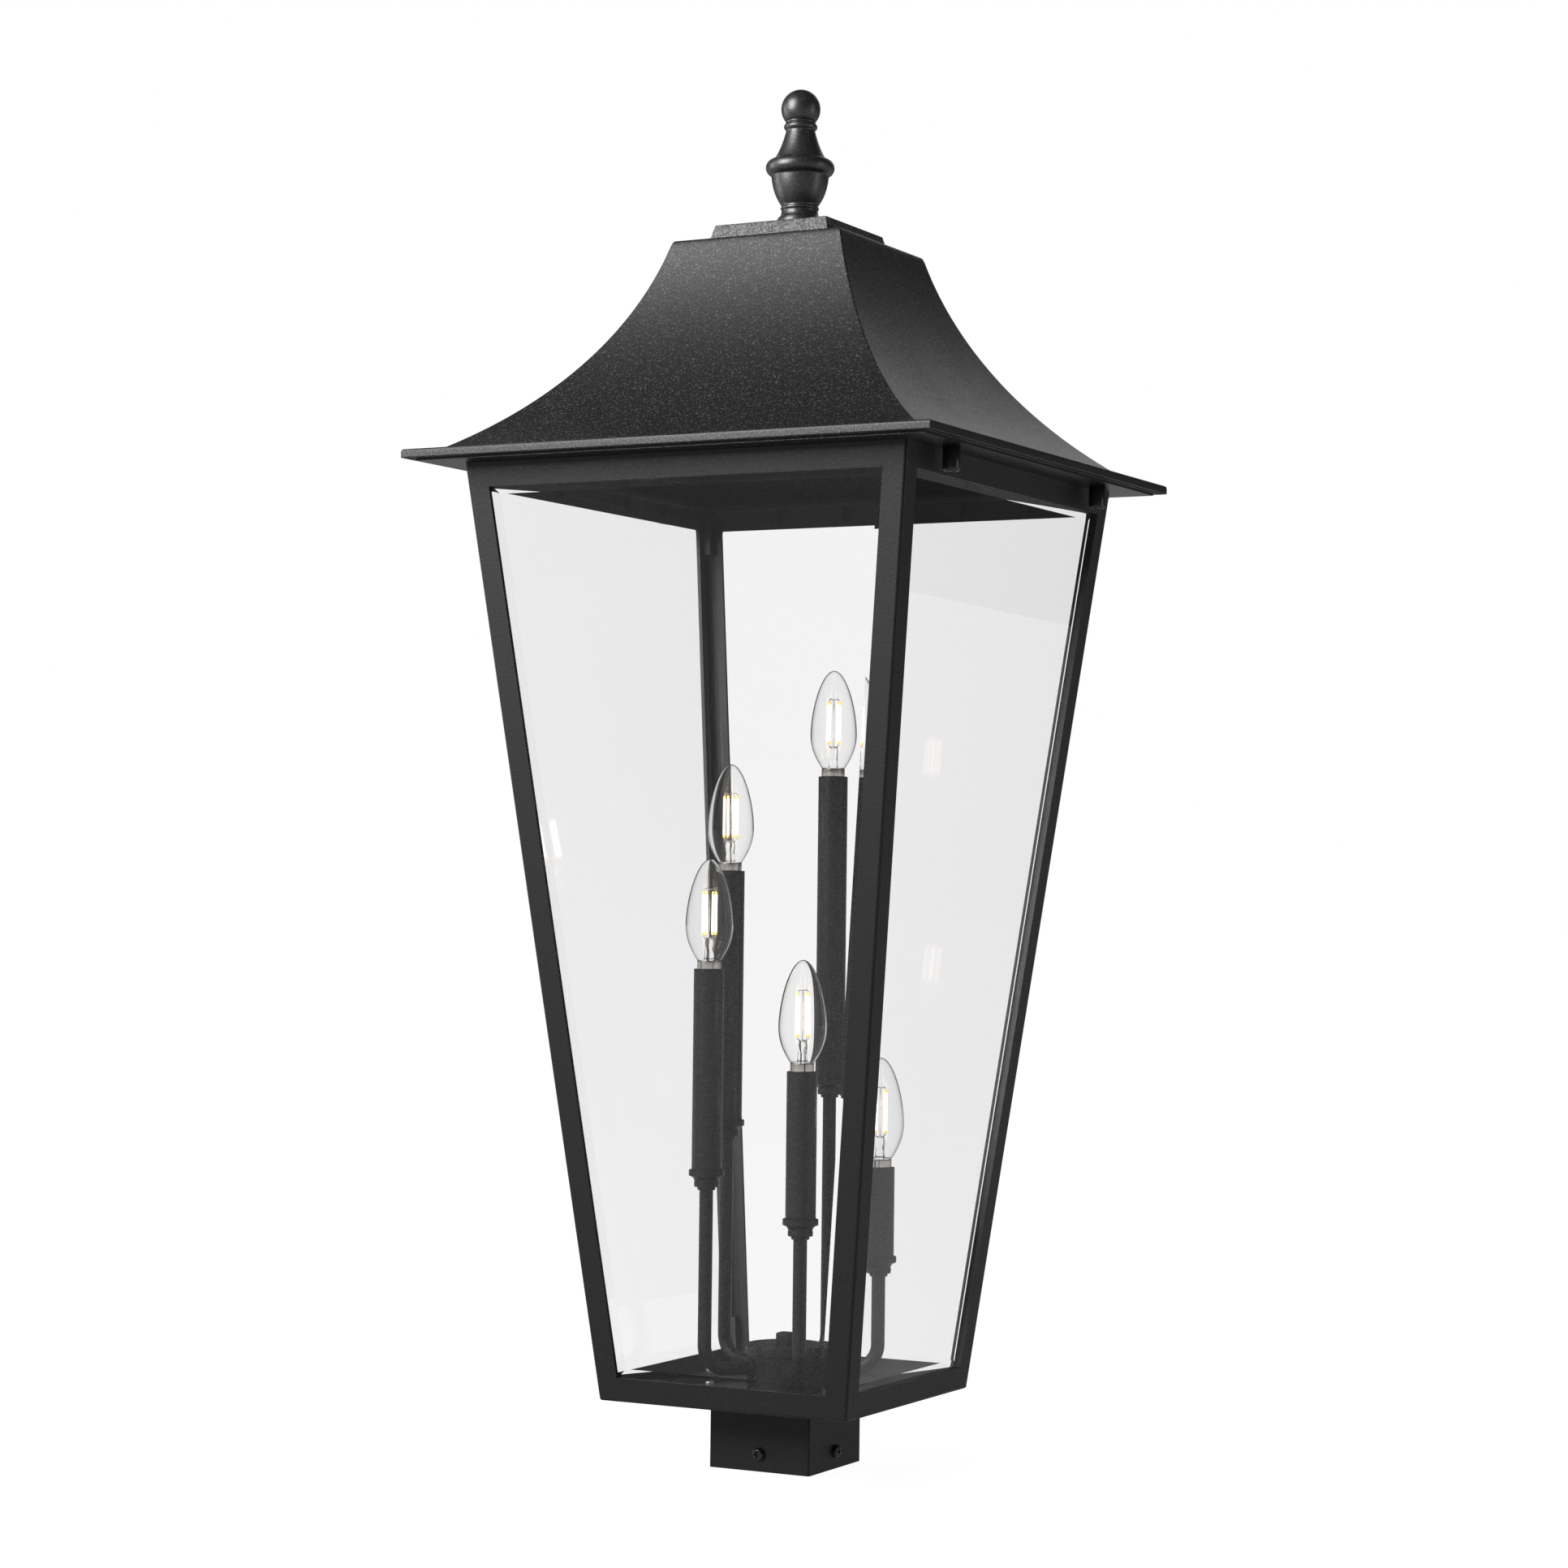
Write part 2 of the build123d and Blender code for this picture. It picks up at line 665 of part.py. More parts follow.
with BuildPart() as locknuts:
    with BuildSketch(Plane.XY.offset(base_plate_top + hub_wall)):
        RegularPolygon(locknut_size / 2, 6, major_radius=False)
        Circle(nipple_diameter / 2, mode=Mode.SUBTRACT)
    extrude(amount=locknut_height)
    nut_corner = arm_nut_size / 2 / cos(radians(30))
    nut_seat = sqrt((hub_radius - hub_wall) ** 2 - nut_corner**2)
    for angle in lamp_angles:
        with BuildSketch(arm_section(angle, nut_seat)):
            RegularPolygon(nut_corner, 6)
            Circle(arm_diameter / 2, mode=Mode.SUBTRACT)
        extrude(amount=-arm_nut_thickness)
save(locknuts.part, "locknuts")


# ---------------------------------------------------------------- lamps
def lamp_arm(angle, top):
    """Bent tube from inside the hub, out through its ferrule and up to a socket."""
    with BuildPart() as arm:
        inside_wall = hub_radius - hub_wall
        through_ferrule = hub_wall + arm_ferrule_thickness
        extrude(radial_disc(angle, inside_wall, arm_ferrule), amount=through_ferrule)
        Cylinder(hub_radius, lid_top, align=(Align.CENTER, Align.CENTER, Align.MIN), mode=Mode.SUBTRACT)
        bore = radial_disc(angle, inside_wall, arm_diameter - 2 * arm_wall)
        extrude(bore, amount=through_ferrule, mode=Mode.SUBTRACT)
        with BuildLine(radial_plane(angle)) as route:
            FilletPolyline(
                (arm_inner_end, arm_height), (lamp_circle, arm_height), (lamp_circle, top), radius=arm_bend
            )
        with BuildSketch(Plane(origin=route.line @ 0, z_dir=route.line % 0)):
            Circle(arm_diameter / 2)
            Circle(arm_diameter / 2 - arm_wall, mode=Mode.SUBTRACT)
        sweep()
    return arm.part


def turned(centre, outline, *sizes):
    """Solid turned about the upright line through a centre, from an outline of radii and heights."""
    with BuildPart() as piece:
        with BuildSketch(Plane(origin=centre, x_dir=(1, 0, 0), z_dir=(0, -1, 0))):
            with BuildLine():
                outline(*sizes)
            make_face()
        revolve(axis=Axis(centre, (0, 0, 1)))
    return piece.part


def cup_outline():
    """Candle cup, from its seat down: ring, hollow cove and foot, bored for arm and sleeve."""
    ring, waist, foot = cup_diameter / 2, cup_waist / 2, cup_foot / 2
    bore, pocket = arm_diameter / 2, sleeve_diameter / 2
    cove_top, cove_foot = -cup_ring_height, -cup_ring_height - cup_cove_height
    bottom = cove_foot - cup_foot_height
    Polyline(
        (foot, cove_foot),
        (foot, bottom),
        (bore, bottom),
        (bore, -sleeve_seat_depth),
        (pocket, -sleeve_seat_depth),
        (pocket, 0),
        (ring, 0),
        (ring, cove_top),
        (ring - cup_step, cove_top),
    )
    SagittaArc((ring - cup_step, cove_top), (waist, cove_foot), cup_cove_depth)
    Line((waist, cove_foot), (foot, cove_foot))


def sleeve_outline(length):
    """Candle sleeve: a plain tube that stands in its cup."""
    outer, inner = sleeve_diameter / 2, sleeve_diameter / 2 - sleeve_wall
    low = -sleeve_seat_depth
    Polyline((inner, low), (outer, low), (outer, length), (inner, length), (inner, low))


def socket_outline(length):
    """Lamp socket at the sleeve's top: a blind bore for the bulb's screw shell."""
    outer = sleeve_diameter / 2 - sleeve_wall - socket_play
    bore = bulb_thread / 2 + bulb_thread_play
    foot, floor = length - socket_length, length - socket_bore_depth
    Polyline(
        (0, foot),
        (outer, foot),
        (outer, length),
        (bore, length),
        (bore, floor),
        (0, floor),
        (0, foot),
    )


def bulb_skin(wall):
    """Half the bulb's outline, drawn in from the outside by a wall's thickness."""
    neck, belly, tip = bulb_neck / 2 - wall, bulb_diameter / 2 - wall, bulb_length - wall
    widest = (belly, bulb_belly_height)
    flare = (neck + bulb_neck_flare, bulb_neck_rise)
    Bezier((neck, 0), flare, (belly, bulb_belly_height - bulb_belly_run), widest)
    Bezier(widest, (belly, bulb_shoulder_height), (bulb_tip_width / 2 - wall, tip), (0, tip))


def glass_envelope_outline():
    """Hollow bulb glass, open at its neck where it is sealed to the collar."""
    bulb_skin(0)
    Line((0, bulb_length), (0, bulb_length - bulb_wall))
    bulb_skin(bulb_wall)
    Line((bulb_neck / 2 - bulb_wall, 0), (bulb_neck / 2, 0))


def bulb_cap_outline():
    """Collar, screw shell and foot contact of a bulb, below its glass."""
    collar, shell, contact = bulb_collar / 2, bulb_thread / 2, bulb_contact / 2
    collar_foot = -bulb_collar_height
    shell_foot = collar_foot - bulb_thread_length
    contact_foot = shell_foot - bulb_contact_height
    Polyline(
        (0, 0),
        (collar, 0),
        (collar, collar_foot),
        (shell, collar_foot),
        (shell, shell_foot),
        (contact, shell_foot),
        (contact, contact_foot),
        (0, contact_foot),
        (0, 0),
    )


def bulb_stem_outline():
    """Glass stem, its fine wire and the two spiders that hold the filaments' ends."""
    stem, wire, spider = bulb_stem / 2, spider_wire / 2, filament_circle + filament_diameter
    low = bulb_stem_height + spider_thickness
    high = low + filament_length
    top = high + spider_thickness
    Polyline(
        (0, 0),
        (stem, 0),
        (stem, bulb_stem_height),
        (spider, bulb_stem_height),
        (spider, low),
        (wire, low),
        (wire, high),
        (spider, high),
        (spider, top),
        (0, top),
        (0, 0),
    )


def filaments(foot):
    """Filament rods in a ring between a bulb's two spiders."""
    low = foot[2] + bulb_stem_height + spider_thickness
    with BuildPart() as rods:
        with BuildSketch(Plane(origin=(foot[0], foot[1], low))):
            with PolarLocations(filament_circle, filament_count):
                Circle(filament_diameter / 2)
        extrude(amount=filament_length)
    return rods.solids()


sockets = []
for lamp, angle in enumerate(lamp_angles):
    a = radians(angle)
    seat_height = first_seat_height + lamp * seat_step
    sleeve_length = first_sleeve_length + lamp * sleeve_step
    seat = (lamp_circle * cos(a), lamp_circle * sin(a), seat_height)
    bulb_foot = (seat[0], seat[1], seat_height + sleeve_length + bulb_collar_height)
    save(lamp_arm(angle, seat_height + sleeve_length - socket_length), f"lamp_arm_{lamp + 1}")
    save(turned(seat, cup_outline), f"candle_cup_{lamp + 1}")
    save(turned(seat, sleeve_outline, sleeve_length), f"candle_sleeve_{lamp + 1}")
    sockets.append(turned(seat, socket_outline, sleeve_length))
    save(turned(bulb_foot, glass_envelope_outline), f"bulb_glass_{lamp + 1}")
    cap, stem = turned(bulb_foot, bulb_cap_outline), turned(bulb_foot, bulb_stem_outline)
    save(Compound(children=[cap.solid(), stem.solid(), *filaments(bulb_foot)]), f"bulb_base_{lamp + 1}")
save(Compound(children=[socket.solid() for socket in sockets]), "lamp_sockets")
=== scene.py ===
import json
from math import atan2, cos, pi, radians, sin

import bmesh
import bpy
import numpy as np
from mathutils import Matrix, Vector


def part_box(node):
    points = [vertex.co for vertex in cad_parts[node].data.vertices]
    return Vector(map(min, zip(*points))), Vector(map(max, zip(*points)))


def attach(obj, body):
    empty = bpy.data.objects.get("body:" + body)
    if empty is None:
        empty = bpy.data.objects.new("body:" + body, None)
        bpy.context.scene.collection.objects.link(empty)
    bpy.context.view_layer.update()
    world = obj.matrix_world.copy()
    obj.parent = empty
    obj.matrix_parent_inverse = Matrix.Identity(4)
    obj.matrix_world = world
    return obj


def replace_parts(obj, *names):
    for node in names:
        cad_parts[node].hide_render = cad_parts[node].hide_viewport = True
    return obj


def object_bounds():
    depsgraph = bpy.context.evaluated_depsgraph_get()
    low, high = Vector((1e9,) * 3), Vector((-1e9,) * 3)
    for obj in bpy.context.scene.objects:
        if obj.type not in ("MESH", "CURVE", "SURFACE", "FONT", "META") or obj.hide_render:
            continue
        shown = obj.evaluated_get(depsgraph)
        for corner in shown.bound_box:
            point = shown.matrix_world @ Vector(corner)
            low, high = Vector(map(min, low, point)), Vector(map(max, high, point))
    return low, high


# Post lantern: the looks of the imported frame, in metres.
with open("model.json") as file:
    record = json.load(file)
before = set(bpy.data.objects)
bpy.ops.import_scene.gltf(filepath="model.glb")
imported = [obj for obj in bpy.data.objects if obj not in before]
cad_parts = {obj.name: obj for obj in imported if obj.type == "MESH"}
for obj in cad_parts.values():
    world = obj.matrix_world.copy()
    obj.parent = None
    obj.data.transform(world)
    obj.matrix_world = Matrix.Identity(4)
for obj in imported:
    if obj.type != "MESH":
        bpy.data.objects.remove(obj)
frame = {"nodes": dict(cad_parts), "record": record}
nodes = frame["nodes"]
cad_low, cad_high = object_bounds()

MM = 0.001
BULBS = range(1, 6)
SIDES = range(1, 5)

# camera: where it stands round the lantern and how it is tipped
CAMERA_AZIMUTH = radians(27.91)
CAMERA_PITCH = radians(1.67)
CAMERA_ROLL = radians(0.672)
CAMERA_DISTANCE = 2.5838
CAMERA_HEIGHT = 0.4244
CAMERA_SIDESTEP = -0.0067
CAMERA_LENS = 80.3


# ------------------------------------------------------------ shapes
def mesh_piece(name, points, faces, material, body, smooth=True):
    """Object from an array of points and lists of corner numbers, closed, outward and riding on a body."""
    mesh = bpy.data.meshes.new(name)
    mesh.from_pydata(points.tolist(), [], faces.tolist())
    work = bmesh.new()
    work.from_mesh(mesh)
    bmesh.ops.remove_doubles(work, verts=work.verts, dist=1e-7)
    bmesh.ops.recalc_face_normals(work, faces=work.faces)
    work.to_mesh(mesh)
    work.free()
    mesh.polygons.foreach_set("use_smooth", np.full(len(mesh.polygons), smooth))
    mesh.materials.append(material)
    piece = bpy.data.objects.new(name, mesh)
    bpy.context.scene.collection.objects.link(piece)
    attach(piece, body)
    return piece


def grid_faces(rows, columns, wrap_rows=False):
    """Corner numbers of the quads of a grid whose columns run round a closed ring."""
    last = rows if wrap_rows else rows - 1
    r, c = np.meshgrid(np.arange(last), np.arange(columns), indexing="ij")
    below, along = (r + 1) % rows, (c + 1) % columns
    corners = [r * columns + c, r * columns + along, below * columns + along, below * columns + c]
    return np.stack(corners, -1).reshape(-1, 4)


def ringed(name, surface, material, body, closed=False):
    """Piece whose skin is a grid of rings, one row to a ring; closed joins the last ring to the first."""
    rows, columns = surface.shape[:2]
    return mesh_piece(name, surface.reshape(-1, 3), grid_faces(rows, columns, closed), material, body)


def crisp(piece):
    """Evens the shading so that flats stay flat beside their rounded edges."""
    even = piece.modifiers.new("flat_shading", "WEIGHTED_NORMAL")
    even.keep_sharp = True
    return piece


def arc(centre, radius, start, end, steps=12):
    """Points on a circle's arc, in the outline's plane, from one angle to another in degrees."""
    angles = np.radians(np.linspace(start, end, steps))
    return np.stack([centre[0] + radius * np.cos(angles), centre[1] + radius * np.sin(angles)], -1)


def bend(start, pull, end, steps=12):
    """Points on the curve that leaves start towards pull and reaches end from pull."""
    t = np.linspace(0, 1, steps)[:, None]
    return (1 - t) ** 2 * np.array(start) + 2 * t * (1 - t) * np.array(pull) + t**2 * np.array(end)


def swing(start, first, second, end, steps=24):
    """Points on the curve from start to end that is pulled towards a first and then a second point."""
    t = np.linspace(0, 1, steps)[:, None]
    a, b, c, d = (np.array(p, float) for p in (start, first, second, end))
    return (1 - t) ** 3 * a + 3 * t * (1 - t) ** 2 * b + 3 * t**2 * (1 - t) * c + t**3 * d


def softened(corners, radius, steps=5):
    """An outline's corners rounded: each is left one radius before it and met one radius after it."""
    corners = np.array(corners, float)
    inner = corners[1:-1]
    before, after = corners[:-2] - inner, corners[2:] - inner
    reach = np.broadcast_to(np.asarray(radius, float), len(inner))[:, None]
    before_length = np.linalg.norm(before, axis=1, keepdims=True)
    after_length = np.linalg.norm(after, axis=1, keepdims=True)
    start = inner + before / before_length * np.minimum(reach, before_length / 2)
    end = inner + after / after_length * np.minimum(reach, after_length / 2)
    t = np.linspace(0, 1, steps)[None, :, None]
    rounds = (1 - t) ** 2 * start[:, None] + 2 * t * (1 - t) * inner[:, None] + t**2 * end[:, None]
    return np.vstack([corners[:1], rounds.reshape(-1, 2), corners[-1:]])


def round_surface(outline, centre=(0, 0, 0), steps=64):
    """A radius and a height at each point of an outline, carried round an upright line through a centre."""
    angles = np.linspace(0, 2 * pi, steps, endpoint=False)
    radii, heights = outline[:, :1], outline[:, 1:]
    x, y = radii * np.cos(angles), radii * np.sin(angles)
    z = np.broadcast_to(heights, x.shape)
    return np.stack([x, y, z], -1) + np.array(centre)


def turned(name, outline, centre, material, body, steps=64, closed=False):
    """Turned piece: an outline in millimetres above its centre, carried round."""
    outline = np.array(outline, float) * MM
    return ringed(name, round_surface(outline, centre, steps), material, body, closed)


def square_surface(outline, corner, corner_steps=5, support=1.5 * MM):
    """Half-widths and heights carried round a square with rounded corners, with a line beside each round."""
    turns = np.linspace(0, pi / 2, corner_steps)
    half, height = outline[:, 0], outline[:, 1]
    round_off = np.minimum(corner, half)
    flat = half - round_off
    beside = np.minimum(support, flat)
    line = (flat - beside)[:, None]
    side = half[:, None]
    round_x = flat[:, None] + round_off[:, None] * np.cos(turns)
    round_y = flat[:, None] + round_off[:, None] * np.sin(turns)
    x = np.concatenate([round_x, line, -line], 1)
    y = np.concatenate([round_y, side, side], 1)
    quarters = np.arange(4) * pi / 2
    ring_x = np.concatenate([x * cos(a) - y * sin(a) for a in quarters], 1)
    ring_y = np.concatenate([x * sin(a) + y * cos(a) for a in quarters], 1)
    return np.stack([ring_x, ring_y, np.broadcast_to(height[:, None], ring_x.shape)], -1)


def squared(name, outline, corner, material, body, closed=False):
    """Square piece: an outline of half-widths and heights in metres, carried round the lantern's axis."""
    return crisp(ringed(name, square_surface(outline, corner), material, body, closed))


def tube_surface(path, radius, steps=24):
    """Rings of one radius along a path that lies in an upright plane; each ring faces along the path."""
    path = np.array(path, float)
    ahead = np.gradient(path, axis=0)
    ahead /= np.linalg.norm(ahead, axis=1, keepdims=True)
    run = path[-1] - path[0]
    sideways = np.cross(run, (0, 0, 1))
    if np.linalg.norm(sideways) < 1e-9:
        sideways = np.array((1.0, 0, 0))
    sideways = sideways / np.linalg.norm(sideways)
    across = np.cross(ahead, sideways)
    angles = np.linspace(0, 2 * pi, steps, endpoint=False)[None, :, None]
    radius = np.broadcast_to(np.asarray(radius, float), len(path))[:, None, None]
    return path[:, None] + radius * (np.cos(angles) * sideways + np.sin(angles) * across[:, None])


def capped(points):
    """Closes a tube's two ends with a point in the middle of each."""
    first, last = points[:1].mean(1, keepdims=True), points[-1:].mean(1, keepdims=True)
    ring = np.ones((1, points.shape[1], 1))
    return np.concatenate([first * ring, points, last * ring], 0)


def tubes(name, paths, radius, material, body, steps=12):
    """One piece of several round wires, each along its own path and closed at its ends."""
    surfaces = [capped(tube_surface(path, radius, steps)) for path in paths]
    faces, points, used = [], [], 0
    for surface in surfaces:
        faces.append(grid_faces(surface.shape[0], surface.shape[1]) + used)
        points.append(surface.reshape(-1, 3))
        used += len(points[-1])
    return mesh_piece(name, np.concatenate(points), np.concatenate(faces), material, body)


# ------------------------------------------------------------ materials
class Finish:
    """A material with one Principled shader, and short ways to add the nodes that feed it."""

    def __init__(self, name):
        """A new material, its shader, and the piece's own coordinates that patterns are read from."""
        self.material = bpy.data.materials.new(name)
        self.material.use_nodes = True
        self.tree = self.material.node_tree
        self.shader = self.tree.nodes["Principled BSDF"]
        self.place = self.node("ShaderNodeTexCoord").outputs["Object"]

    def node(self, kind, **settings):
        """Adds a node and gives it its settings."""
        made = self.tree.nodes.new(kind)
        for name, value in settings.items():
            setattr(made, name, value)
        return made

    def set(self, **values):
        """Sets the shader's inputs; an underline in a name stands for a space."""
        for name, value in values.items():
            self.shader.inputs[name.replace("_", " ")].default_value = value
        return self

    def link(self, source, target):
        """Links a socket to another, or to the shader's input of that name."""
        self.tree.links.new(source, self.shader.inputs[target] if isinstance(target, str) else target)

    def noise(self, scale, detail=2.0, roughness=0.5, stretch=(1, 1, 1)):
        """Noise on the piece's own coordinates; scale counts lumps to the metre."""
        mapping = self.node("ShaderNodeMapping")
        mapping.inputs["Scale"].default_value = stretch
        noise = self.node("ShaderNodeTexNoise")
        noise.inputs["Scale"].default_value = scale
        noise.inputs["Detail"].default_value = detail
        noise.inputs["Roughness"].default_value = roughness
        self.link(self.place, mapping.inputs["Vector"])
        self.link(mapping.outputs["Vector"], noise.inputs["Vector"])
        return noise.outputs["Fac"]

    def ramp(self, source, low, high, from_low=0.3, from_high=0.7):
        """A value or colour that goes from low to high as the source crosses a range."""
        ramp = self.node("ShaderNodeValToRGB")
        colours = [c if isinstance(c, tuple) else (c, c, c) for c in (low, high)]
        for stop, colour, place in zip(ramp.color_ramp.elements, colours, (from_low, from_high)):
            stop.position = place
            stop.color = (*colour, 1)
        self.link(source, ramp.inputs["Fac"])
        return ramp.outputs["Color"]

    def mix(self, share, one, other, blend="MIX"):
        """Two colours mixed by a share, or put together by another blend."""
        mix = self.node("ShaderNodeMix", data_type="RGBA", blend_type=blend)
        for socket, value in (("Factor", share), ("A", one), ("B", other)):
            kind = "VALUE" if socket == "Factor" else "RGBA"
            chosen = [s for s in mix.inputs if s.name == socket and s.type == kind][0]
            if isinstance(value, bpy.types.NodeSocket):
                self.link(value, chosen)
            elif socket == "Factor":
                chosen.default_value = value
            else:
                chosen.default_value = (*value, 1)
        return [s for s in mix.outputs if s.type == "RGBA"][0]

    def maths(self, operation, one, other=0.0):
        """Arithmetic on two values or sockets."""
        step = self.node("ShaderNodeMath", operation=operation)
        for socket, value in zip(step.inputs, (one, other)):
            if isinstance(value, bpy.types.NodeSocket):
                self.link(value, socket)
            else:
                socket.default_value = value
        return step.outputs[0]

    def bump(self, height, distance):
        """Relief from a height, in metres from its lowest to its highest."""
        bump = self.node("ShaderNodeBump")
        bump.inputs["Distance"].default_value = distance
        bump.inputs["Strength"].default_value = 1.0
        self.link(height, bump.inputs["Height"])
        self.link(bump.outputs["Normal"], "Normal")
        return self


def powder_coat(name, grain=1.0, brushed=0.0, shine=0.46, index=1.45, speck_and_glint=0.036, sheen_from=None, edge=0.05):
    """Black powder coat: fine orange peel with pale specks, partly the coat's grain and partly painted
    glints; past a given distance across the piece, towards its edge, a speckled painted highlight lightens
    its colour.
    """
    coat = Finish(name)
    fine = coat.noise(700, 3.0, 0.62)
    coarse = coat.noise(420, 2.0, 0.5)
    clouds = coat.noise(9, 3.0, 0.55)
    # pale specks in the colour: partly the coat's grain, partly painted glints
    speck_and_glint_mask = coat.ramp(fine, 0.0, 1.0, 0.54, 0.72)
    body = coat.mix(clouds, (0.0050, 0.0048, 0.0049), (0.0085, 0.0081, 0.0082))
    colour = coat.mix(speck_and_glint_mask, body, (speck_and_glint, 0.96 * speck_and_glint, 0.95 * speck_and_glint))
    # painted highlight: towards the edge the colour is lightened in specks, standing in for the sheen on the
    # eave's rolled rim and the cap's front
    if sheen_from:
        parts = coat.node("ShaderNodeSeparateXYZ")
        coat.link(coat.place, parts.inputs[0])
        across = coat.maths("MAXIMUM", coat.maths("ABSOLUTE", parts.outputs["X"]),
                            coat.maths("ABSOLUTE", parts.outputs["Y"]))
        rim = coat.ramp(across, 0.0, 1.0, sheen_from, sheen_from + 0.001)
        sheen_specks = coat.ramp(fine, 0.0, 1.0, 0.46, 0.60)
        colour = coat.mix(coat.maths("MULTIPLY", rim, sheen_specks), colour, (edge, 0.95 * edge, 0.92 * edge))
    coat.link(colour, "Base Color")
    rough = coat.ramp(fine, shine + 0.12, shine - 0.10)
    coat.link(coat.mix(0.35, rough, coat.ramp(clouds, shine + 0.06, shine - 0.05)), "Roughness")
    height = coat.mix(0.4, fine, coarse)
    if brushed:
        streaks = coat.noise(260, 3.0, 0.6, (0.12, 0.12, 1.0))
        height = coat.mix(brushed, height, streaks)
    coat.bump(height, 0.00010 * grain)
    return coat.set(IOR=index).material


def hardware_black():
    """Satin black plated steel, smoother than the coat round it."""
    steel = Finish("black_hardware_finish")
    marks = steel.noise(240, 3.0)
    steel.link(steel.mix(marks, (0.009, 0.009, 0.009), (0.020, 0.020, 0.020)), "Base Color")
    steel.link(steel.ramp(marks, 0.22, 0.36), "Roughness")
    return steel.bump(steel.noise(900), 0.00003).set(IOR=1.6).material


def clear_glass(name, colour, index):
    """Clear glass, smooth on both sides."""
    glass = Finish(name)
    return glass.set(Base_Color=(*colour, 1), Transmission_Weight=1.0, IOR=index, Roughness=0.0).material


def bright_metal(name, colour, low, high, brushed=True):
    """Plated metal with fine turning marks round it."""
    metal = Finish(name)
    marks = metal.noise(300, 2.0, 0.5, (0.15, 0.15, 1.0) if brushed else (1, 1, 1))
    dark = tuple(0.92 * c for c in colour)
    metal.link(metal.mix(marks, dark, colour), "Base Color")
    metal.link(metal.ramp(marks, low, high), "Roughness")
    return metal.set(Metallic=1.0).material


def glowing(name, colour, strength, edge):
    """Lit filament: phosphor that is a little uneven along its length."""
    glow = Finish(name)
    uneven = glow.noise(900, 2.0)
    glow.link(glow.mix(uneven, edge, colour), "Emission Color")
    glow.link(glow.mix(uneven, edge, colour), "Base Color")
    glow.shader.inputs["Emission Strength"].default_value = strength
    return glow.set(Roughness=0.6).material


def moulded(name, colour):
    """Moulded phenolic or enamel, with a slight mottle."""
    plastic = Finish(name)
    mottle = plastic.noise(300, 3.0)
    plastic.link(plastic.mix(mottle, tuple(0.7 * c for c in colour), colour), "Base Color")
    plastic.link(plastic.ramp(mottle, 0.38, 0.52), "Roughness")
    return plastic.bump(mottle, 0.00004).material


# how far in from its edge the coat is lightened by a speckled painted highlight
EAVE_SHEEN_BAND = 2.6 * MM
CAP_SHEEN_BAND = 3.6 * MM
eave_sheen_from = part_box("roof_shell")[1].x - EAVE_SHEEN_BAND
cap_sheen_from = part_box("cap_plate")[1].x - CAP_SHEEN_BAND

# painted light in these copies of one coat: the speck colour is raised on the roof, cap and finial as painted
# glints and lowered on the soffit and lamp parts as painted shade; the roof and cap also carry a speckled
# painted highlight along their edges
frame_coat = powder_coat("frame_powder_coat", grain=1.5, speck_and_glint=0.022)
roof_coat = powder_coat("roof_powder_coat", 2.2, 0.25, shine=0.44, speck_and_glint=0.115, sheen_from=eave_sheen_from, edge=0.035)
cap_coat = powder_coat("cap_powder_coat", 2.4, shine=0.44, speck_and_glint=0.10, sheen_from=cap_sheen_from, edge=0.15)
soffit_coat = powder_coat("soffit_powder_coat", grain=0.6, shine=0.32, index=1.5, speck_and_glint=0.012)
cast_coat = powder_coat("cast_powder_coat", grain=1.2, shine=0.38, index=1.85, speck_and_glint=0.09)
lamp_coat = powder_coat("lamp_powder_coat", grain=0.25, shine=0.24, index=1.42, speck_and_glint=0.012)
hardware = hardware_black()
pane_glass = clear_glass("bevelled_pane_glass", (1.0, 0.995, 0.998), index=1.42)
blown_glass = clear_glass("blown_bulb_glass", (1.0, 1.0, 0.998), index=1.40)
nickel = bright_metal("nickel_plate", (0.96, 0.93, 0.88), 0.10, 0.20)
brass = bright_metal("contact_brass", (0.72, 0.56, 0.30), 0.25, 0.4)
zinc = bright_metal("zinc_plate", (0.56, 0.56, 0.55), 0.28, 0.46, brushed=False)
phenolic = moulded("black_phenolic_moulding", (0.025, 0.024, 0.024))
phosphor = glowing("filament_glow", (1.0, 0.93, 0.80), 2.4, (1.0, 0.86, 0.62))
phosphor_end = glowing("filament_end_glow", (0.95, 0.60, 0.20), 0.75, (0.85, 0.48, 0.12))

# ------------------------------------------------------------ CAD nodes that stay
FINISH_OF_SLOT = {
    "black_powder_coat": frame_coat,
    "black_hardware": hardware,
    "bevelled_glass": pane_glass,
    "bulb_glass": blown_glass,
    "bulb_metal": nickel,
    "zinc_steel": zinc,
    "black_phenolic": phenolic,
}
FINISH_OF_NODE = {
    "soffit_plate": soffit_coat,
    "hub_canister": lamp_coat,
    "hub_lid": lamp_coat,
    "hub_knob": lamp_coat,
}
FRAME_EASING = 0.7 * MM
POST_EASING = 0.9 * MM
slot_of_node = {part["node"]: part["material_slot"] for part in frame["record"]["subparts"]}
for name, node in nodes.items():
    node.data.materials.clear()
    node.data.materials.append(FINISH_OF_NODE.get(name, FINISH_OF_SLOT[slot_of_node[name]]))


def eased(name, width, angle=40):
    """Eases a sheet-metal node's sharp edges, as its coat does, with its shape kept."""
    node = nodes[name]
    node.modifiers.new("one_skin", "WELD").merge_threshold = 1e-6
    flats = node.modifiers.new("whole_flats", "DECIMATE")
    flats.decimate_type = "DISSOLVE"
    flats.angle_limit = radians(0.5)
    edge = node.modifiers.new("eased_edges", "BEVEL")
    edge.width = width
    edge.segments = 2
    edge.limit_method = "ANGLE"
    edge.angle_limit = radians(angle)


